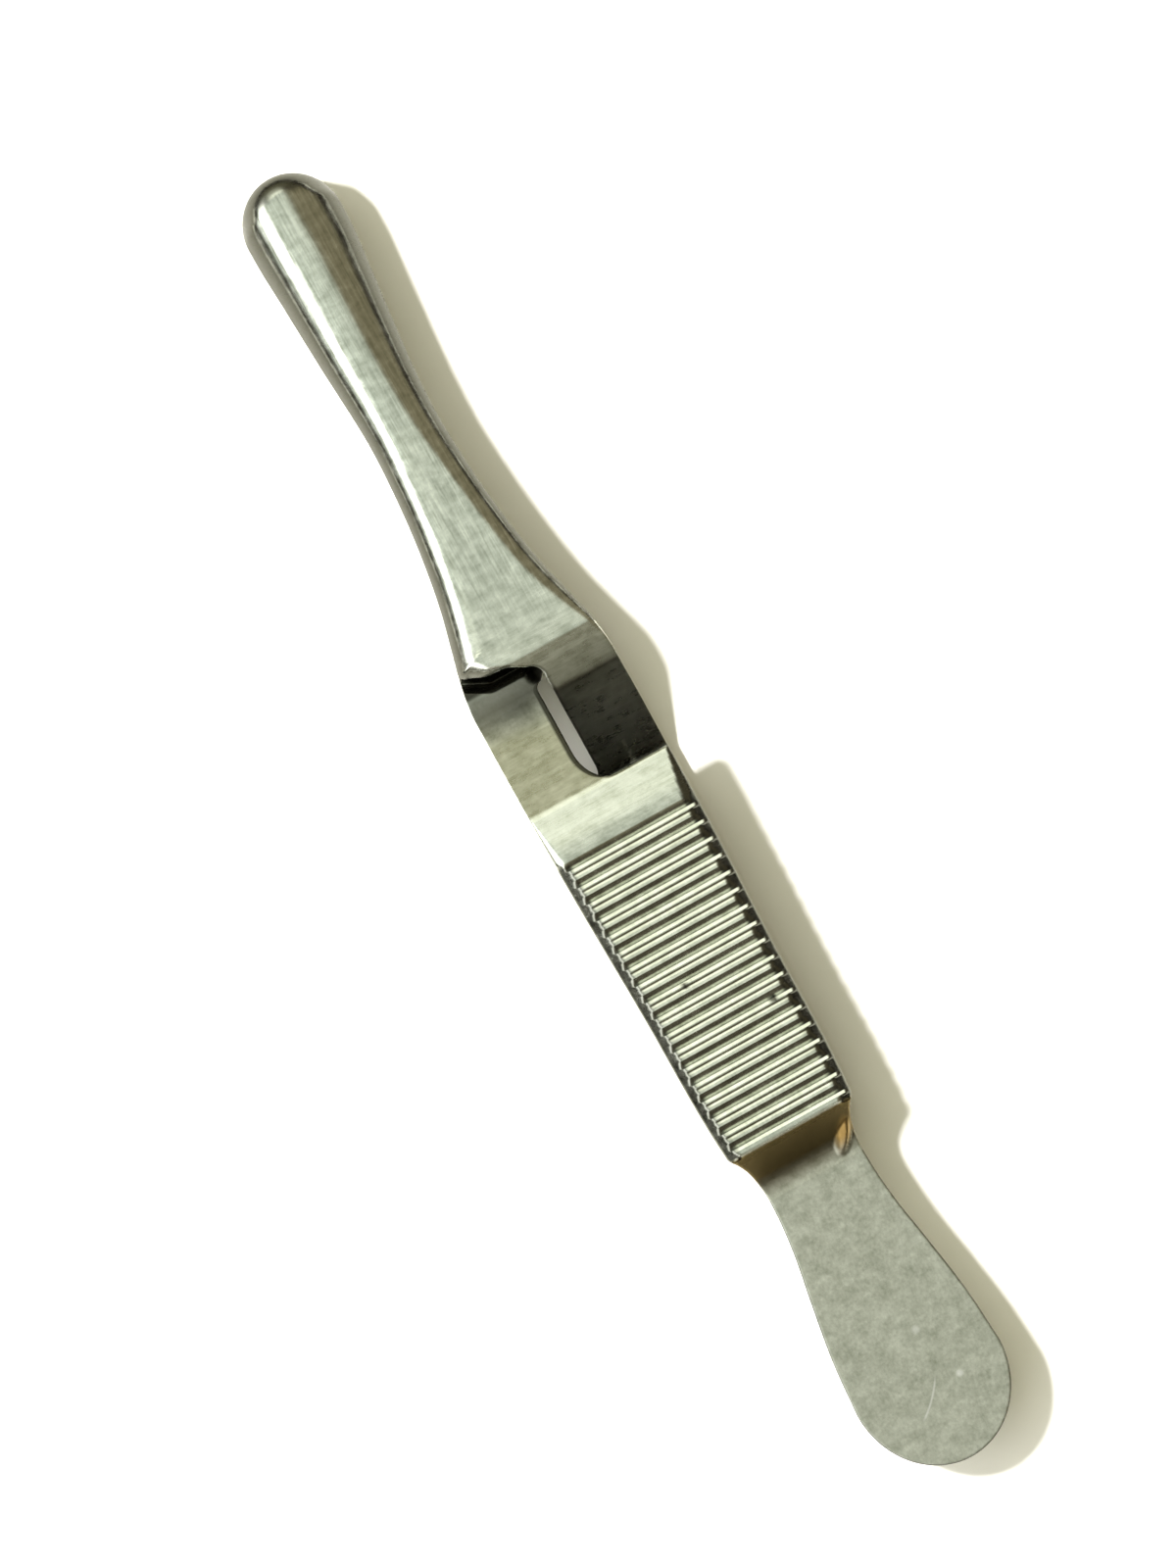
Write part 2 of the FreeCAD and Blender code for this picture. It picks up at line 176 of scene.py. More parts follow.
def through(knots, at):
    """A smooth curve through knots, read at some stations.

    Each span is the cubic that has the knots' heights at its ends and, there, the mean slope
    of the two spans that meet, weighted by the other span's length.
    """
    x, y = np.array(knots, float).T
    step = np.diff(x)
    rise = np.diff(y) / step
    inner = (rise[:-1] * step[1:] + rise[1:] * step[:-1]) / (step[1:] + step[:-1])
    slope = np.concatenate([[rise[0]], inner, [rise[-1]]])
    at = np.clip(np.asarray(at, float), x[0], x[-1])
    k = np.clip(np.searchsorted(x, at) - 1, 0, len(step) - 1)
    t = (at - x[k]) / step[k]
    start = y[k] * (1 + 2 * t) * (1 - t) ** 2 + slope[k] * step[k] * t * (1 - t) ** 2
    end = y[k + 1] * t**2 * (3 - 2 * t) - slope[k + 1] * step[k] * t**2 * (1 - t)
    return start + end


def rounded_line(corners):
    """Points of a line of straight runs whose corners (x, z, radius) are rounded.

    Each corner's arc runs between the points where a circle of that radius touches both runs,
    through 13 points with equal turns between them.
    """
    corners = np.array(corners, float)
    points = [corners[0, :2]]
    for before, here, after in zip(corners, corners[1:], corners[2:]):
        a = before[:2] - here[:2]
        b = after[:2] - here[:2]
        a, b = a / np.linalg.norm(a), b / np.linalg.norm(b)
        half = math.acos(np.clip(a @ b, -1, 1)) / 2
        if here[2] < 1e-6 or half > math.pi / 2 - 1e-3:
            points.append(here[:2])
            continue
        centre = here[:2] + (a + b) / np.linalg.norm(a + b) * here[2] / math.sin(half)
        first = here[:2] + a * here[2] / math.tan(half) - centre
        last = here[:2] + b * here[2] / math.tan(half) - centre
        turn = math.atan2(first[0] * last[1] - first[1] * last[0], first @ last)
        angle = np.linspace(0, turn, 13)
        c, s = np.cos(angle), np.sin(angle)
        arc = np.stack([first[0] * c - first[1] * s, first[0] * s + first[1] * c], 1)
        points.extend(centre + arc)
    points.append(corners[-1, :2])
    return np.array(points).T


def half_width(x):
    """Half the clamp's width: an elliptic tail, a waisted neck, the grip's slow taper, the jaw.

    The tail is y = b sqrt(1 - u^2) and the nose a circle of the jaw's own half width.
    """
    body = through(HALF_WIDTHS, x)
    tail = PADDLE_HALF * np.sqrt(np.clip(1 - ((x - PADDLE_ROUND) / TAIL_LENGTH) ** 2, 0, 1))
    nose = np.sqrt(np.clip(NOSE_HALF**2 - (x - NOSE_CENTRE) ** 2, 0, None))
    return np.where(x < PADDLE_ROUND, tail, np.where(x > NOSE_CENTRE, nose, body))


def tooth_cuts(x, width, depth):
    """Depth of the jaw's teeth at x: depth (1 - |distance to the nearest centre| / half)."""
    index = np.clip(np.round((x - TOOTH_FIRST) / TOOTH_PITCH), 0, TEETH - 1)
    away = np.abs(x - TOOTH_FIRST - index * TOOTH_PITCH)
    return depth * np.clip(1 - away / (width / 2), 0, 1)


def groove_rows(first, pitch, count, offsets):
    """Stations at the same offsets from every groove's centre."""
    centres = first + pitch * np.arange(count)
    return (centres[:, None] + np.array(offsets)[None, :]).ravel()


def rib_place(x):
    """Number of the nearest rib and how far x is from its deep groove's centre."""
    index = np.clip(np.round((x - REAR_GROOVE + 0.1) / GROOVE_PITCH), 0, GROOVES - 1)
    return index, x - REAR_GROOVE - index * GROOVE_PITCH


def rib_cuts(x, depth):
    """Depth of the grip's ribs at x: straight runs through shares of the depth, per pitch.

    From a deep groove's centre its flank towards the jaw is even. The other flank starts
    steep and goes on at 15 degrees to a flat ridge, behind which a shallow saw-tooth groove
    crosses the crest. The rear groove has no crest behind it.
    """
    index, away = rib_place(x)
    share = np.interp(away, RIB_AWAY, RIB_SHARE)
    return depth * np.where((index < 1) & (away < -0.155), 0, share)


def bevel_widths(x, y, full):
    """Widths of the inner and outer flats along the grip's edge; a rib's first ridge runs
    farther out on the notched side."""
    width = full * np.interp(x, [STEP_TOP - 0.1, STEP_TOP, RIBS_END, 1.85], [0, 1, 1, 0])
    _, away = rib_place(x)
    ribbed = (x > REAR_GROOVE - 0.2) & (x < RIBS_END)
    width = width * np.where((away < -0.045) & (away > -0.19) & ribbed & (y < 0), 0.35, 1)
    return width, width * np.interp(x, [RIBS_END - 0.2, RIBS_END + 0.15], [1, 0.3])


def braze_away(x, y):
    """Distance from the middle of the braze, 1 on an ellipse 1.24 mm long and 0.44 mm wide."""
    along = -0.85 * (x - BRAZE_X) + 0.527 * (y - BRAZE_Y)
    across = 0.527 * (x - BRAZE_X) + 0.85 * (y - BRAZE_Y)
    return np.hypot(along / BRAZE_ALONG, across / BRAZE_ACROSS)


# ---------------------------------------------------------------- one arm


def run(a, b, count):
    """Points inside a straight run from a to b."""
    t = np.linspace(0, 1, count + 2)[1:-1, None]
    return np.array(a) * (1 - t) + np.array(b) * t


def arc(cx, cy, r, start, end, count):
    """Points of a circle's arc between two angles in degrees."""
    angle = np.radians(np.linspace(start, end, count))
    return np.stack([cx + r * np.cos(angle), cy + r * np.sin(angle)], 1)


def notched_side(x):
    """Points of the outline on the notched side, at negative y."""
    return np.stack([x, -half_width(x)], 1)


class Arm:
    """One arm as two height surfaces over its outline seen from above, in mm.

    Rows are straight lines from the notched side (negative y) to the whole side (positive y).
    Heights count from the plane in which both arms meet. The grip is above it and the jaw
    below. Near the outline each surface falls away as a quarter circle:
    drop = c - sqrt(c^2 - (c - d)^2), d being the distance to the outline and c its radius. On
    the jaws a straight run at 65 degrees takes over from the circle's last part.
    """

    COLUMNS = 46
    WALL = 4

    def __init__(self, bevel_width, groove_depth, slot, hollow, front, relief):
        self.bevel_width = bevel_width
        self.groove_depth = groove_depth
        self.slot = slot
        rows = self.before_notch() + self.round_notch(hollow, front, relief) + self.past_notch()
        self.right = np.concatenate([points for points, _ in rows])
        stations = np.concatenate([stations for _, stations in rows])
        self.left = np.stack([stations, half_width(stations)], 1)

    # Each stretch of rows: the notched side's points, the whole side's stations.
    def before_notch(self):
        """Rows of the paddle, the step and the ribs, straight across."""
        tail = PADDLE_ROUND - TAIL_LENGTH * np.cos(np.radians(np.linspace(1.5, 90, 26)))
        neck = np.linspace(PADDLE_ROUND, -14.3, 40)[1:]
        step = np.linspace(-14.3, REAR_GROOVE - 0.47, 50)[1:]
        ribs = groove_rows(REAR_GROOVE, GROOVE_PITCH, GROOVES, RIB_ROWS)
        x = np.concatenate([tail, neck, step, ribs])
        return [(notched_side(x), x)]

    def round_notch(self, hollow, front, relief):
        """Rows round the notch: the grip's front corner and end, the notch's rear corner, its
        long side, its front corner and the slanted front wall down to the foot."""
        start = REAR_GROOVE + GROOVE_PITCH * (GROOVES - 1) + RIB_ROWS[-1]
        gap, corner, outer = self.slot, OUTER_CORNER, -half_width(GRIP_END)
        long, wide = hollow, 0.754 * hollow
        bend = front - relief

        land = notched_side(np.linspace(start, GRIP_END - corner, 30)[1:])
        grip_corner = arc(GRIP_END - corner, outer + corner, corner, -90, 0, 7)[1:]
        grip_end = run((GRIP_END, outer + corner), (GRIP_END, gap - wide), 26)
        rear = arc(0, 0, 1.0, 180, 90, 20) * [long, wide] + [GRIP_END + long, gap - wide]
        x = np.linspace(GRIP_END + long, bend, 60)[1:]
        side = np.stack([x, 0 * x + gap], 1)
        turn = arc(bend, gap - relief, relief, 90, 8, 14)[1:]
        foot = (NOTCH_FOOT, -half_width(np.array([NOTCH_FOOT + 0.25]))[0] + 0.28)
        knots = np.array([turn[-1], (6.39, -0.85), (6.49, -1.66), foot])
        y = np.linspace(knots[0, 1], knots[-1, 1], 36)[1:-1]
        wall = np.stack([through(knots[::-1, ::-1], y), y], 1)
        end = arc(NOTCH_FOOT + FOOT_CORNER, foot[1], FOOT_CORNER, 180, 270, 9)
        end[:, 1] = np.maximum(end[:, 1], -half_width(end[:, 0]))
        return [
            (land, np.linspace(start, 0.93, 30)[1:]),
            (grip_corner, np.linspace(0.93, 1.03, 7)[1:]),
            (grip_end, np.linspace(1.03, 1.7, 28)[1:-1]),
            (rear, np.linspace(1.7, 2.6, 20)),
            (side, np.linspace(2.6, bend - 0.3, 60)[1:]),
            (turn, np.linspace(bend - 0.3, front - 0.3, 14)[1:]),
            (wall, np.linspace(front - 0.3, FOLD - 0.02, 36)[1:-1]),
            (end, np.linspace(FOLD - 0.02, NOTCH_FOOT + FOOT_CORNER, 9)),
        ]

    def past_notch(self):
        """Rows of the jaw, straight across, with the nose's at equal turns."""
        heel = np.linspace(NOTCH_FOOT + FOOT_CORNER, TOOTH_FIRST - 0.3, 50)[1:]
        teeth = groove_rows(TOOTH_FIRST, TOOTH_PITCH, TEETH, TOOTH_ROWS)[:-1]
        front = np.linspace(teeth[-1], TIP - 1.0, 8)[1:]
        first = math.asin((TIP - 1.0 - NOSE_CENTRE) / NOSE_HALF)
        angle = np.linspace(first, math.radians(88.6), 30)[1:]
        x = np.concatenate([heel, teeth, front, NOSE_CENTRE + NOSE_HALF * np.sin(angle)])
        return [(notched_side(x), x)]

    def edge_radii(self, points, notched):
        """The two surfaces' rim radii at points of the outline: grip side, jaw side."""
        x, y = points.T
        grip = through(GRIP_RIMS, x)
        jaw = through(JAW_RIMS, x)
        if notched:
            from_side = y + half_width(x)
            # Along the notch's front wall the jaw's round edge turns the corner and runs out.
            wall = (x > FOLD - 0.75) & (from_side > 0.02) & (x < 7.2)
            turned = np.interp(-y, [-0.34, 0.6, 1.1, 1.66, 2.1], [0.03, 0.05, 0.2, 0.62, 0.95])
            jaw = np.where(wall, turned, jaw)
            past = (x > 6.4) & (x < 22) & ~wall
            jaw = np.where(past, np.interp(x, *np.transpose(NOTCHED_JAW_RIMS)), jaw)
            beside_slot = (x > GRIP_END - 0.02) & (x < FOLD) & (from_side > 0.05)
            grip = np.where(beside_slot, np.interp(y, [-2.4, -1.0, 0.2], [0.04, 0.04, 0.06]), grip)
            jaw = np.where(beside_slot & (x < NOTCH_FRONT - 0.6), 0.03, jaw)
        return grip, jaw

    def distance(self, points):
        """Distance to the outline and the two radii at its nearest place, for every point."""
        outline = np.concatenate([self.right, self.left[::-1]])
        radii = [
            np.concatenate([right, left[::-1]])
            for right, left in zip(
                self.edge_radii(self.right, True), self.edge_radii(self.left, False)
            )
        ]
        a, b = outline, np.roll(outline, -1, 0)
        line = b - a
        length = np.maximum((line**2).sum(1), 1e-12)
        away, near = [], [[], []]
        for block in np.array_split(points, max(1, len(points) // 1500)):
            offset = block[:, None] - a[None]
            t = np.clip((offset * line).sum(2) / length, 0, 1)
            d = ((offset - t[..., None] * line) ** 2).sum(2)
            k = d.argmin(1)
            pick = np.arange(len(block))
            t = t[pick, k]
            away.append(np.sqrt(d[pick, k]))
            for store, radius in zip(near, radii):
                store.append(radius[k] * (1 - t) + np.roll(radius, -1)[k] * t)
        return np.concatenate(away), np.concatenate(near[0]), np.concatenate(near[1])

    def grip_side(self, x, y, d, c):
        """Upper surface: paddle, step, ribbed grip, the slope of the tongue, the jaw's teeth."""
        z = np.interp(x, *rounded_line(GRIP_LINE))
        # Bevels: 41 degrees along the ribs; past them two flats, 24 degrees inside, 41 outside.
        inner, outer = bevel_widths(x, y, self.bevel_width)
        bevel = 0.45 * np.clip(inner - d, 0, None) + 0.42 * np.clip(outer - d, 0, None)
        z = z - np.maximum(rib_cuts(x, self.groove_depth), bevel)
        # A narrow relief at the foot of the tongue, under the other arm's jaw, and the pit.
        foot = FOOT_GROOVE + np.clip(y - 1.6, 0, 1) * 0.52
        z = z - 0.55 * np.clip(1 - np.abs(x - foot) / 0.33, 0, 1)
        z = z - 0.5 * np.clip(1 - np.hypot((x - 5.9) / 0.45, (y - 0.1) / 0.32), 0, 1)
        # The braze at the right-hand end of the step fills the corner with a slanting flat.
        flat = 1.38 + 0.33 * (x - BRAZE_X) - 0.42 * (y - BRAZE_Y)
        z = z + np.clip(flat - z, 0, 0.5) * smooth_step(-braze_away(x, y), -1.3, -0.75)
        z = z - tooth_cuts(x, 0.34, 0.14)
        inside = np.clip(c - d, 0, c)
        return z - (c - np.sqrt(np.maximum(c**2 - inside**2, 0)))

    def jaw_side(self, x, y, d, c):
        """Lower surface: paddle's inner face, under the grip, the heel and the round jaw."""
        z = np.interp(x, *rounded_line(JAW_LINE))
        # Past the nose's centre the round section runs on, and a smaller round ends it.
        d = np.where(x > NOSE_CENTRE, NOSE_HALF - np.abs(y), d)
        inside = np.clip(c * np.where(y < 0, 0.975, 0.94) - d, 0, c)
        curved = np.minimum(inside, STEEP_SHARE * c)
        z = z + c - np.sqrt(c**2 - curved**2) + (inside - curved) * STEEP_SLOPE
        end = NOSE_HALF - np.hypot(x - NOSE_CENTRE, y)
        r = 0.7 * smooth_step(x, NOSE_CENTRE, NOSE_CENTRE + 0.9) + 1e-6
        inside = np.clip(0.95 * r - end, 0, r) * (x > NOSE_CENTRE)
        return z + (r - np.sqrt(np.maximum(r**2 - inside**2, 0)))

    def build(self):
        """Vertex places in closed rings and each vertex's face: 0 grip side, 1 whole side's
        wall, 2 jaw side, 3 notched side's wall."""
        share = (1 - np.cos(np.linspace(0, math.pi, self.COLUMNS)))[None, :, None] / 2
        plan = self.right[:, None] * (1 - share) + self.left[:, None] * share
        rows = len(plan)
        flat = plan.reshape(-1, 2)
        d, c_grip, c_jaw = self.distance(flat)
        x, y = flat.T
        top = self.grip_side(x, y, d, c_grip).reshape(rows, -1)
        low = self.jaw_side(x, y, d, c_jaw).reshape(rows, -1)
        low = np.minimum(low, top - 0.03)
        upper = np.dstack([plan, top])
        lower = np.dstack([plan, low])[:, ::-1]
        t = (np.arange(1, self.WALL + 1) / (self.WALL + 1))[None, :, None]
        left = upper[:, -1:] * (1 - t) + lower[:, :1] * t
        right = lower[:, -1:] * (1 - t) + upper[:, :1] * t
        kind = np.repeat([0, 1, 2, 3], [self.COLUMNS, self.WALL, self.COLUMNS, self.WALL])
        return np.concatenate([upper, left, lower, right], 1), np.tile(kind, rows)


def ring_faces(rows, count):
    """Quads between neighbouring rings of points, and end faces on the first and last ring."""
    index = np.arange(rows * count).reshape(rows, count)
    after = np.roll(index, -1, 1)
    quads = np.stack([index[:-1], index[1:], after[1:], after[:-1]], -1).reshape(-1, 4)
    return quads, [index[0].tolist(), index[-1][::-1].tolist()]


def ring_mesh(name, rings):
    """A closed mesh through rings of points, and its vertex normals.

    Normals are the sums of the neighbouring faces' area vectors, so flats stay flat and the
    narrow strips along edges turn smoothly between them.
    """
    places = rings.reshape(-1, 3)
    quads, ends = ring_faces(*rings.shape[:2])
    corners = places[quads]
    area = np.cross(corners[:, 2] - corners[:, 0], corners[:, 3] - corners[:, 1])
    normals = np.zeros_like(places)
    for corner in range(4):
        np.add.at(normals, quads[:, corner], area)
    normals /= np.maximum(np.linalg.norm(normals, axis=1, keepdims=True), 1e-30)
    mesh = bpy.data.meshes.new(name)
    mesh.from_pydata((places * MM).tolist(), [], quads.tolist() + ends)
    mesh.shade_smooth()
    mesh.validate()
    mesh.normals_split_custom_set_from_vertices(normals.tolist())
    return mesh, normals


# ---------------------------------------------------------------- finish, place by place


def satin_share(x, face):
    """1 on the satin paddle, 0.2 on the ribs, 0.4 on the land and the slope, near 0 on the
    jaw, and dull again at the slope's foot on the grip side."""
    along = np.interp(
        x,
        [-13.6, -12.9, -12.2, -11.9, RIBS_END, GRIP_END, 5.5, 7.4, 9.5],
        [1, 0.7, 0.3, 0.2, 0.25, 0.4, 0.45, 0.2, 0.06],
    )
    return np.maximum(along, np.interp(x, [3.8, 4.5, 5.8, 6.1], [0, 0.95, 0.95, 0]) * (face == 0))


def steep_painted_shade(x, level):
    """Painted shade on the jaws' sloping edges, darkest where they start, and on the nose; both
    are also dulled.
    """
    edge = np.interp(level, [0.56, 0.62, 0.70, 0.74], [0.93, 0.95, 0.95, 0]) * (x > FOLD - 0.1)
    nose = np.interp(level, [0.86, 0.97, 0.999], [0.92, 0.78, 0.2])
    return np.maximum(edge, nose * smooth_step(x, TIP - 0.9, TIP - 0.6))


def slot_painted_shade(rings, slot, turned):
    """Painted shade: a dark line along the slot's edge, in from the notched side's outline."""
    offset = rings[..., :2] - rings[:, :1, :2]
    from_edge = np.hypot(offset[..., 0], offset[..., 1]).ravel()
    along, across = (np.broadcast_to(rings[:, :1, k], rings.shape[:2]).ravel() for k in (0, 1))
    beside = (across > slot - 0.75) & (along > GRIP_END + 0.1) & (along < NOTCH_FRONT)
    width, front = (0.09, 0.6) if turned else (0.15, 1)
    line = smooth_step(-from_edge, -width - 0.07, -width) * beside
    return 0.95 * line * np.interp(along, [5.0, 5.2], [1, front])


def paint_arm(mesh, rings, face, level, bevel_width, slot, turned):
    """Stores the finish's shares, painted shade among them, for every vertex of an arm for the
    material to read.

    They follow from its place, the face it is on, and its level, which is 1 on flats.
    """
    x, y, _ = rings.reshape(-1, 3).T
    grip_face, wall_left, jaw_face, wall_notch = (face == k for k in range(4))
    steep_shade = steep_painted_shade(x, level)

    # Painted shade under the grip, on the back of the tongue and on the notch's wall.
    under = np.interp(
        x, [-12.6, -11.8, GRIP_END, 4.87, 5.07, 6.3], [0, 0.82, 0.82, 0.86, 0.42, 0.0]
    )
    notch = np.interp(x, [GRIP_END, GRIP_END + 0.1, 5.2, 5.6], [0, 0.95, 0.95, 0.3])
    # Painted shade in the relief and the pit at the slope's foot and on the slope's shaded lower
    # end.
    relief = smooth_step(-np.abs(x - FOOT_GROOVE - 0.1), -0.5, -0.2)
    pit = smooth_step(-np.hypot((x - 5.85) / 0.45, (y - 0.1) / 0.36), -1.1, -0.8)
    shade = np.interp(x, [4.3, 4.9, 5.3, 5.5, 5.8], [0, 0.5, 0.84, 0.8, 0.62]) * (x < 6.7)
    # Painted shade on the long bevels, darkest on the notched side, and on the paddle's edges.
    flat = bevel_widths(x, y, bevel_width)[0]
    inwards = (half_width(x) - np.abs(y)) / np.maximum(flat, 0.01)
    bevel = smooth_step(inwards, 1.4, 1.15) * (flat > 0.03) * grip_face
    bevel = bevel * np.where(y < 0, 0.86, 0.68 * (x < RIBS_END))
    rims = np.interp(level, [0.8, 0.95], [0.85, 0.14]) * (x < -14) + 0.85 * (level < 0.45)
    paddle = np.where(x < -12.2, rims, 0) * (grip_face | jaw_face)
    # Two dark nicks on the upper arm's ribs.
    nicks = 0 * x
    for at_x, at_y in () if turned else ((-7.94, -1.66), (-6.09, 0.75)):
        nick = smooth_step(-np.hypot(x - at_x, y - at_y), -0.16, -0.08)
        nicks = np.maximum(nicks, nick * grip_face)
    # Painted shade on the side walls, darker than the ground faces.
    sides = 0.45 * (wall_left | wall_notch)
    painted_shade_and_nicks = [
        under * jaw_face, notch * (x < 6.8) * wall_notch, relief * grip_face, pit * grip_face,
        shade * grip_face, slot_painted_shade(rings, slot, turned), steep_shade, paddle, sides, bevel, nicks,
    ]

    # The heat tint left by joining the paddles: brown on the step, straw at its right end.
    brown = np.interp(x, [-14.1, -13.5, -13.1, -12.14, -12.08], [0, 0.45, 1, 1, 0]) * grip_face
    straw = smooth_step(-braze_away(x, y), -1.35, -0.75) * np.interp(x, [-13.65, -13.2], [0.35, 1])

    for name, values in {
        "satin": np.maximum(satin_share(x, face), 0.4 * steep_shade),
        "painted_shade_and_nicks": np.max(painted_shade_and_nicks, 0),
        "brown": brown * (1 - 0.9 * bevel),
        "straw": straw * grip_face,
    }.items():
        layer = mesh.attributes.new(name, "FLOAT", "POINT")
        layer.data.foreach_set("value", np.asarray(values, np.float32))


def make_arm(context, name, turned):
    """One arm as an object; the lower arm is turned half a turn about the long axis."""
    settings = context.scene.clamp_sizes
    bevel_width = settings.bevel_width / MM
    notch = LOWER_NOTCH if turned else UPPER_NOTCH
    rings, face = Arm(bevel_width, settings.groove_depth / MM, *notch).build()
    turn = np.array([1, -1, -1]) if turned else np.array([1, 1, 1])
    places = rings * turn + np.array([0, 0, MEETING])
    places[:, :, 1] -= LEAN * smooth_step(places[:, :, 0], 17, 23)
    mesh, normals = ring_mesh(name, places)
    paint_arm(mesh, rings, face, np.abs(normals[:, 2]), bevel_width, notch[0], turned)
    arm = bpy.data.objects.new(name, mesh)
    context.scene.collection.objects.link(arm)
    mesh.materials.append(ground_steel(context))
    return arm


# ---------------------------------------------------------------- materials

MATH, VECTOR = "ShaderNodeMath", "ShaderNodeVectorMath"
MIX, MAP = "ShaderNodeMix", "ShaderNodeMapRange"
ADD, SUBTRACT, MULTIPLY, MAXIMUM, ABSOLUTE, NORMALIZE, DISTANCE, DOT_PRODUCT = (
    {"operation": name}
    for name in (
        "ADD", "SUBTRACT", "MULTIPLY", "MAXIMUM", "ABSOLUTE", "NORMALIZE", "DISTANCE",
        "DOT_PRODUCT",
    )
)
NUMBERS, COLOURS = {"data_type": "FLOAT"}, {"data_type": "RGBA"}
SMOOTH = {"interpolation_type": "SMOOTHSTEP"}


def add_node(tree, kind, settings=(), **inputs):
    """Adds one node, sets its own settings, and sets or links the inputs given by name.

    A name ending in an underscore and a number picks that input by number, as in Value_1. A
    node given as a value stands for its first output.
    """
    node = tree.nodes.new(kind)
    for key, value in dict(settings).items():
        setattr(node, key, value)
    for key, value in inputs.items():
        number = key.rpartition("_")[2]
        socket = node.inputs[int(number) if number.isdigit() else key.replace("_", " ")]
        if isinstance(value, bpy.types.Node):
            value = value.outputs[0]
        if isinstance(value, bpy.types.NodeSocket):
            tree.links.new(value, socket)
        else:
            socket.default_value = value
    return node


def new_material(name):
    """An empty node material and its tree."""
    material = bpy.data.materials.get(name) or bpy.data.materials.new(name)
    material.use_nodes = True
    material.node_tree.nodes.clear()
    return material, material.node_tree


def ground_steel(context):
    """Stainless steel, wheel-ground on the slopes, glass-bead satin on the paddle, polished on
    the jaws: pale warm grey that mirrors the room softly, with fine use scratches."""
    found = bpy.data.materials.get("ground_stainless_steel")
    if found:
        return found
    colours = context.scene.clamp_colours
    material, tree = new_material("ground_stainless_steel")
    place = add_node(tree, "ShaderNodeTexCoord").outputs["Object"]
    satin, painted_shade_and_nicks, brown, straw = (
        add_node(tree, "ShaderNodeAttribute", {"attribute_name": name}).outputs["Fac"]
        for name in ("satin", "painted_shade_and_nicks", "brown", "straw")
    )

    # Grinding streaks across the arm, 0.2 mm wide and 3 mm long, polishing streaks along the
    # jaw, 0.1 mm wide and 2 mm long, cloudy handling marks 0.3 to 0.5 mm wide, and the satin's
    # grain of 0.1 mm, all over finer lines. The scales count per metre along x, y and z.
    patterns = []
    for scale, detail, rough in (
        ((5000, 350, 2500), 5.0, 0.72),
        ((500, 9000, 9000), 4.0, 0.65),
        ((2600, 1800, 2600), 4.0, 0.6),
        ((7000, 9000, 9000), 3.0, 0.7),
    ):
        spread = add_node(tree, "ShaderNodeMapping", Vector_0=place, Scale_3=scale)
        patterns.append(
            add_node(
                tree, "ShaderNodeTexNoise",
                Vector_0=spread, Scale=1.0, Detail=detail, Roughness=rough,
            )
        )
    across, along, cloud, grain = patterns
    ground = add_node(tree, MAP, Value=satin, From_Min=0.06, From_Max=0.3)
    beaded = add_node(tree, MAP, Value=satin, From_Min=0.5, From_Max=1.0, To_Max=0.75)
    streaks = add_node(tree, MIX, NUMBERS, Factor_0=ground, A_2=along, B_3=across)
    streaks = add_node(tree, MIX, NUMBERS, Factor_0=beaded, A_2=streaks, B_3=grain)

    # Roughness: 0.15 on the jaw, about 0.3 on slopes, 0.5 on the paddle, give or take 0.09.
    rough = add_node(tree, MAP, Value=satin, To_Min=0.15, To_Max=0.5)
    for pattern, most in ((cloud, 0.04), (streaks, 0.05)):
        change = add_node(
            tree, MAP, Value=pattern, From_Min=0.3, From_Max=0.7, To_Min=-most, To_Max=most
        )
        rough = add_node(tree, MATH, ADD, Value_0=rough, Value_1=change)

    # A slightly bowed scratch 1.6 mm long, which is part of a circle of 3.9 mm, and two bright
    # nicks on the paddle, in mm. Each share falls from its most to 0 between two distances.
    plan = add_node(tree, VECTOR, MULTIPLY, Vector_0=place, Vector_1=(1000, 1000, 0))
    from_bow, from_middle, *from_nicks = (
        add_node(tree, VECTOR, DISTANCE, Vector_0=plan, Vector_1=(x, y, 0)).outputs["Value"]
        for x, y in ((-19.94, 3.10), (-22.62, 0.27), (-22.29, -1.02), (-20.25, -0.41))
    )
    from_bow = add_node(tree, MATH, SUBTRACT, Value_0=from_bow, Value_1=3.9)
    from_bow = add_node(tree, MATH, ABSOLUTE, Value_0=from_bow)
    line, length, *nicks = (
        add_node(tree, MAP, Value=away, From_Min=near, From_Max=far, To_Min=most, To_Max=0.0)
        for away, near, far, most in (
            (from_bow, 0.015, 0.05, 0.4),
            (from_middle, 0.6, 0.85, 1.0),
            (from_nicks[0], 0.06, 0.16, 0.5),
            (from_nicks[1], 0.05, 0.2, 0.35),
        )
    )
    marks = add_node(tree, MATH, MULTIPLY, Value_0=line, Value_1=length)
    for nick in nicks:
        marks = add_node(tree, MATH, MAXIMUM, Value_0=marks, Value_1=nick)

    # Tone: clouds of handled steel, then the painted shade and dark nicks, both heat tints and the
    # bright marks.
    handled = add_node(tree, MIX, NUMBERS, Factor_0=0.5, A_2=streaks, B_3=cloud)
    handled = add_node(tree, MAP, Value=handled, From_Min=0.32, From_Max=0.68)
    tone = linear(colours.steel_dark)
    for share, colour in (
        (handled, colours.steel), (painted_shade_and_nicks, colours.painted_shade_and_nicks), (brown, colours.heat_brown),
        (straw, colours.heat_straw), (marks, "#FFFFFF"),
    ):
        mixed = add_node(tree, MIX, COLOURS, Factor_0=share, A_6=tone, B_7=linear(colour))
        tone = mixed.outputs[2]
    bump = add_node(tree, "ShaderNodeBump", Strength=0.5, Distance=0.000006, Height=streaks)
    shader = add_node(
        tree, "ShaderNodeBsdfPrincipled",
        Base_Color=tone, Metallic=1.0, Roughness=rough, Normal=bump,
    )
    add_node(tree, "ShaderNodeOutputMaterial", Surface=shader)
    return material


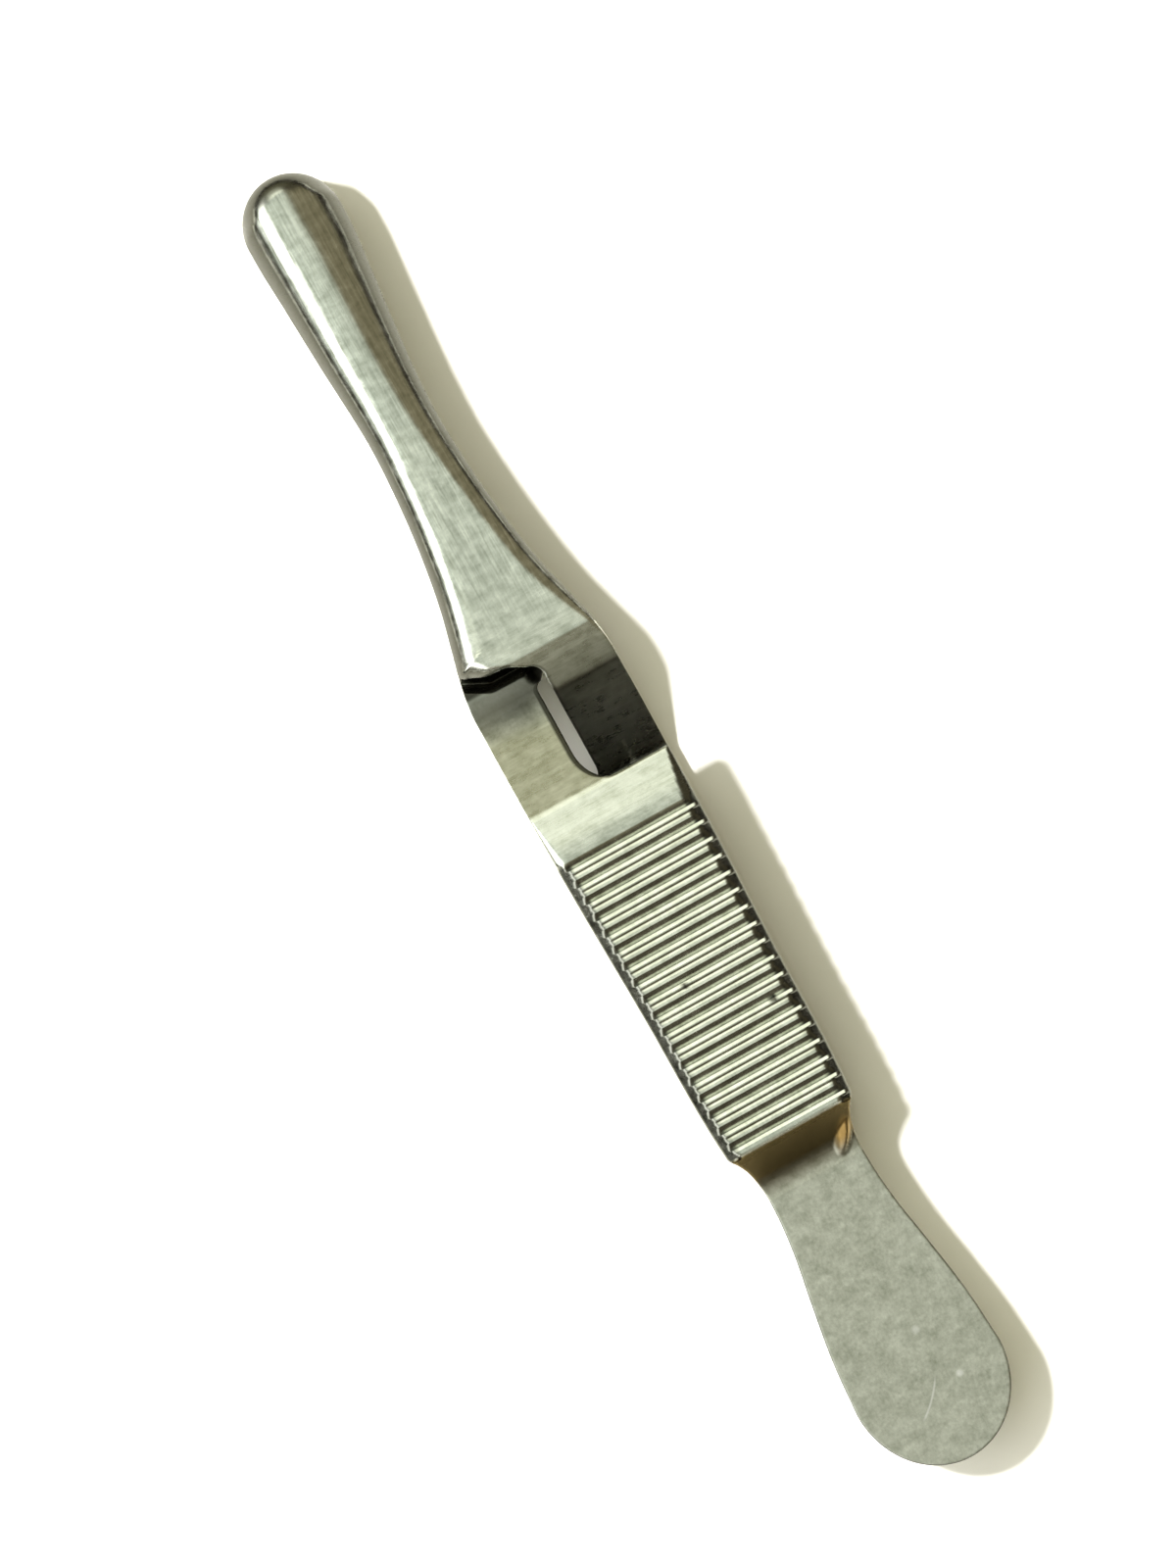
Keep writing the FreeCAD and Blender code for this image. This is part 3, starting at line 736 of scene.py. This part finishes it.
def floor_material(context):
    """Plain white table cover: matt."""
    material, tree = new_material("white_table_cover")
    colour = linear(context.scene.clamp_colours.floor)
    matt = add_node(tree, "ShaderNodeBsdfDiffuse", Color=colour)
    add_node(tree, "ShaderNodeOutputMaterial", Surface=matt)
    return material


def room_material(context):
    """The room that polished steel mirrors: light ceiling, one tall window, dim walls."""
    colours = context.scene.clamp_colours
    material, tree = new_material("room_around")
    place = add_node(tree, "ShaderNodeTexCoord").outputs["Object"]
    way = add_node(tree, VECTOR, NORMALIZE, Vector_0=place)
    axes = add_node(tree, "ShaderNodeSeparateXYZ", Vector=way).outputs

    # Each part of the room has a strongest share and smooth rises from 0 to 1 between two
    # values of x, y or z on the way out to it.
    parts = []
    for most, rises in (
        (1.0, (("Y", -0.30, 0.02), ("X", -0.75, -0.05))),
        (1.0, (("X", 0.35, 0.95),)),
        (1.0, (("Z", 0.46, 0.2),)),
        (0.85, (("X", -0.5, -0.95),)),
        (
            1.0,
            (
                ("Y", 0.56, 0.61), ("Y", 0.90, 0.86), ("X", -0.7, -0.6), ("X", 0.62, 0.5),
                ("Z", 0.34, 0.43),
            ),
        ),
        (0.2, (("Y", 0.1, 0.56),)),
    ):
        share = most
        for axis, low, high in rises:
            rise = add_node(tree, MAP, SMOOTH, Value=axes[axis], From_Min=low, From_Max=high)
            share = add_node(tree, MATH, MULTIPLY, Value_0=share, Value_1=rise)
        parts.append(share)
    ceiling, front, low_wall, rear, window, beside_window = parts

    # A bright patch of ceiling beyond the tip, 28 degrees off straight up.
    to_light = add_node(tree, VECTOR, DOT_PRODUCT, Vector_0=way, Vector_1=(0.47, 0.12, 0.875))
    to_light = to_light.outputs["Value"]
    light = add_node(tree, MAP, SMOOTH, Value=to_light, From_Min=0.91, From_Max=0.975)
    lit = add_node(tree, MATH, MULTIPLY, Value_0=light, Value_1=0.6)

    colour = linear(colours.room_dark)
    for share, paint in (
        (ceiling, colours.ceiling), (front, colours.room_front), (low_wall, colours.room_low),
        (rear, colours.room_low), (lit, colours.ceiling_lit), (window, "#FFFFFF"),
    ):
        mixed = add_node(tree, MIX, COLOURS, Factor_0=share, A_6=colour, B_7=linear(paint))
        colour = mixed.outputs[2]
    bright = add_node(tree, MATH, MULTIPLY, Value_0=light, Value_1=0.5)
    for share in (window, beside_window):
        bright = add_node(tree, MATH, MAXIMUM, Value_0=bright, Value_1=share)
    strength = add_node(tree, MAP, SMOOTH, Value=bright, To_Min=1.0, To_Max=3.2)
    glow = add_node(tree, "ShaderNodeEmission", Color=colour, Strength=strength)
    add_node(tree, "ShaderNodeOutputMaterial", Surface=glow)
    return material


# ---------------------------------------------------------------- settings


class ClampSizes(bpy.types.PropertyGroup):
    """Sizes of the clamp's finish and stage."""

    bevel_width: bpy.props.FloatProperty(
        name="Bevel width", description="Width of the bevels along the ribbed grip",
        default=0.37 * MM, min=0.1 * MM, max=0.8 * MM, precision=5, unit="LENGTH",
        subtype="DISTANCE",
    )
    groove_depth: bpy.props.FloatProperty(
        name="Groove depth", description="Depth of the grooves between the grip's ribs",
        default=0.135 * MM, min=0.05 * MM, max=0.25 * MM, precision=5, unit="LENGTH",
        subtype="DISTANCE",
    )
    camera_height: bpy.props.FloatProperty(
        name="Camera height", description="Height of the camera above the table",
        default=0.5, min=0.1, max=1.0, unit="LENGTH", subtype="DISTANCE",
    )
    lamp_power: bpy.props.FloatProperty(
        name="Lamp power", description="Power of the soft lamp above the table, in watts",
        default=2.9, min=0.0, max=20.0, unit="POWER",
    )


class ClampColours(bpy.types.PropertyGroup):
    """Colours, as sRGB hex values."""

    steel: bpy.props.StringProperty(
        name="Steel", description="Light tone of the steel", default="#ECEFE3"
    )
    steel_dark: bpy.props.StringProperty(
        name="Steel, worn", description="Darker clouds of handled steel", default="#A9AC9C"
    )
    # This colour also paints the shade in hollows, under the other arm and along edges, and the
    # dark nicks.
    painted_shade_and_nicks: bpy.props.StringProperty(
        name="Oxide", description="Grey scale on faces no wheel reached", default="#4E4D44"
    )
    heat_brown: bpy.props.StringProperty(
        name="Heat brown", description="Brown tint on the step", default="#6F613F"
    )
    heat_straw: bpy.props.StringProperty(
        name="Heat straw", description="Straw tint beside the joined neck", default="#A08450"
    )
    floor: bpy.props.StringProperty(
        name="Floor", description="Colour of the table cover", default="#F8F6F1"
    )
    ceiling: bpy.props.StringProperty(
        name="Ceiling", description="Light ceiling above", default="#DEE5DC"
    )
    ceiling_lit: bpy.props.StringProperty(
        name="Lit ceiling", description="Bright patch of the ceiling", default="#FFFFF0"
    )
    room_dark: bpy.props.StringProperty(
        name="Dim wall", description="Dim side of the room", default="#8B836C"
    )
    room_low: bpy.props.StringProperty(
        name="Low wall", description="Darkest, low part of the room", default="#3A3530"
    )
    room_front: bpy.props.StringProperty(
        name="Front wall", description="Wall beyond the jaw's tip", default="#CFCBAA"
    )


# ---------------------------------------------------------------- stage, in metres

TABLE_HALF = 0.75
TABLE_DROP = 0.00002
ROOM_RADIUS = 1.2
LAMP_SLANT = math.radians(25)
LAMP_SIZE, LAMP_DISTANCE = 0.035, 0.45
FILL_SIZE, FILL_HEIGHT, FILL_SHARE = 0.8, 0.6, 0.27
SENSOR = 36
# The picture is 53.8 mm high at 3.1 mm above the table, a little left of the clamp's middle.
VIEW_SPAN, VIEW_LEVEL, VIEW_CENTRE = 0.0538, 0.0031, (0.00156, 0.00034)


def add_table(context):
    """A flat square, just under the clamp."""
    r = TABLE_HALF
    mesh = bpy.data.meshes.new("table")
    mesh.from_pydata([(-r, -r, 0), (r, -r, 0), (r, r, 0), (-r, r, 0)], [], [(0, 1, 2, 3)])
    mesh.materials.append(floor_material(context))
    table = bpy.data.objects.new("table", mesh)
    table.location.z = -TABLE_DROP
    context.scene.collection.objects.link(table)
    return table


def add_room(context):
    """A sphere round the table, which reflections and the table's shading see and the camera
    doesn't."""
    u, v = np.meshgrid(
        np.linspace(0, 2 * math.pi, 65)[:-1], np.linspace(0.03, math.pi - 0.03, 33)
    )
    places = np.stack([np.sin(v) * np.cos(u), np.sin(v) * np.sin(u), np.cos(v)], -1)
    quads, ends = ring_faces(*places.shape[:2])
    mesh = bpy.data.meshes.new("room")
    mesh.from_pydata((places * ROOM_RADIUS).reshape(-1, 3).tolist(), [], quads.tolist() + ends)
    mesh.shade_smooth()
    mesh.materials.append(room_material(context))
    room = bpy.data.objects.new("room", mesh)
    room.visible_camera = False
    room.visible_shadow = False
    context.scene.collection.objects.link(room)
    return room


def add_lamps(context):
    """A soft lamp from the view's upper left, 25 degrees off straight down, and a wide, weak
    fill from straight above, which only softens the shadow."""
    power = context.scene.clamp_sizes.lamp_power
    away = Vector((0.69, 0.72, 0)).normalized() * math.sin(LAMP_SLANT)
    away.z = math.cos(LAMP_SLANT)
    above = Vector((0, 0, FILL_HEIGHT))
    for name, size, energy, colour, place in (
        ("soft_lamp", LAMP_SIZE, power, (1.0, 1.0, 0.98), away * LAMP_DISTANCE),
        ("fill_lamp", FILL_SIZE, power * FILL_SHARE, (1.0, 0.96, 0.6), above),
    ):
        light = bpy.data.lights.new(name, "AREA")
        light.shape = "DISK"
        light.size = size
        light.energy = energy
        light.color = colour
        lamp = bpy.data.objects.new(name, light)
        lamp.location = place
        lamp.rotation_mode = "QUATERNION"
        lamp.rotation_quaternion = place.to_track_quat("Z", "Y")
        lamp.visible_glossy = False
        context.scene.collection.objects.link(lamp)


def add_world(scene):
    """An even white backdrop."""
    world = scene.world or bpy.data.worlds.new("world")
    scene.world = world
    world.use_nodes = True
    world.node_tree.nodes.clear()
    sky = add_node(world.node_tree, "ShaderNodeBackground", Color=(1, 1, 1, 1), Strength=1.0)
    add_node(world.node_tree, "ShaderNodeOutputWorld", Surface=sky)


def add_camera(scene):
    """The camera looks straight down, turned so that the clamp lies along the picture."""
    data = bpy.data.cameras.new("camera")
    camera = bpy.data.objects.new("camera", data)
    scene.collection.objects.link(camera)
    height = scene.clamp_sizes.camera_height
    data.sensor_fit = "VERTICAL"
    data.sensor_height = SENSOR
    data.lens = SENSOR * (height - VIEW_LEVEL) / VIEW_SPAN
    data.clip_start, data.clip_end = 0.01, 10
    right = Vector((-0.4848, -0.8746, 0)).normalized()
    up = Vector((0.8746, -0.4848, 0)).normalized()
    camera.location = (*VIEW_CENTRE, height)
    camera.rotation_mode = "QUATERNION"
    turn = Matrix((right, up, (0, 0, 1))).transposed()
    camera.rotation_quaternion = turn.to_quaternion()
    scene.camera = camera
    scene.view_settings.view_transform = "Standard"


# ---------------------------------------------------------------- operators


class CLAMP_OT_upper_arm(bpy.types.Operator):
    """Makes the upper arm: paddle half, step, ribbed upper grip, tongue and lower jaw"""

    bl_idname = "clamp.upper_arm"
    bl_label = "Upper arm"

    def execute(self, context):
        arm = make_arm(context, "upper_arm_steel", False)
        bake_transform(arm)
        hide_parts("upper_arm")
        return {"FINISHED"}


class CLAMP_OT_lower_arm(bpy.types.Operator):
    """Makes the lower arm: paddle half, step, ribbed lower grip, tongue and upper jaw"""

    bl_idname = "clamp.lower_arm"
    bl_label = "Lower arm"

    def execute(self, context):
        arm = make_arm(context, "lower_arm_steel", True)
        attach(arm, "lower_arm")
        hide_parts("lower_arm")
        return {"FINISHED"}


class CLAMP_OT_stage(bpy.types.Operator):
    """Sets the stage: table, room, lamps and the camera straight above"""

    bl_idname = "clamp.stage"
    bl_label = "Stage"

    def execute(self, context):
        add_table(context)
        add_room(context)
        add_lamps(context)
        add_world(context.scene)
        add_camera(context.scene)
        return {"FINISHED"}


class CLAMP_PT_panel(bpy.types.Panel):
    """Sizes, colours and the steps that build the clamp"""

    bl_label = "Bulldog clamp"
    bl_idname = "CLAMP_PT_panel"
    bl_space_type = "VIEW_3D"
    bl_region_type = "UI"
    bl_category = "Clamp"

    def draw(self, context):
        for group in (context.scene.clamp_sizes, context.scene.clamp_colours):
            for name in group.__annotations__:
                self.layout.prop(group, name)
        for operator in OPERATORS:
            self.layout.operator(operator.bl_idname)


OPERATORS = (CLAMP_OT_lower_arm, CLAMP_OT_upper_arm, CLAMP_OT_stage)
CLASSES = (ClampSizes, ClampColours) + OPERATORS + (CLAMP_PT_panel,)


def register():
    for cls in CLASSES:
        bpy.utils.register_class(cls)
    bpy.types.Scene.clamp_sizes = bpy.props.PointerProperty(type=ClampSizes)
    bpy.types.Scene.clamp_colours = bpy.props.PointerProperty(type=ClampColours)


def unregister():
    del bpy.types.Scene.clamp_sizes
    del bpy.types.Scene.clamp_colours
    for cls in reversed(CLASSES):
        bpy.utils.unregister_class(cls)


def main():
    """Builds the clamp and its stage."""
    register()
    bpy.ops.clamp.lower_arm()
    bpy.ops.clamp.upper_arm()
    bpy.ops.clamp.stage()


if __name__ == "__main__":
    main()
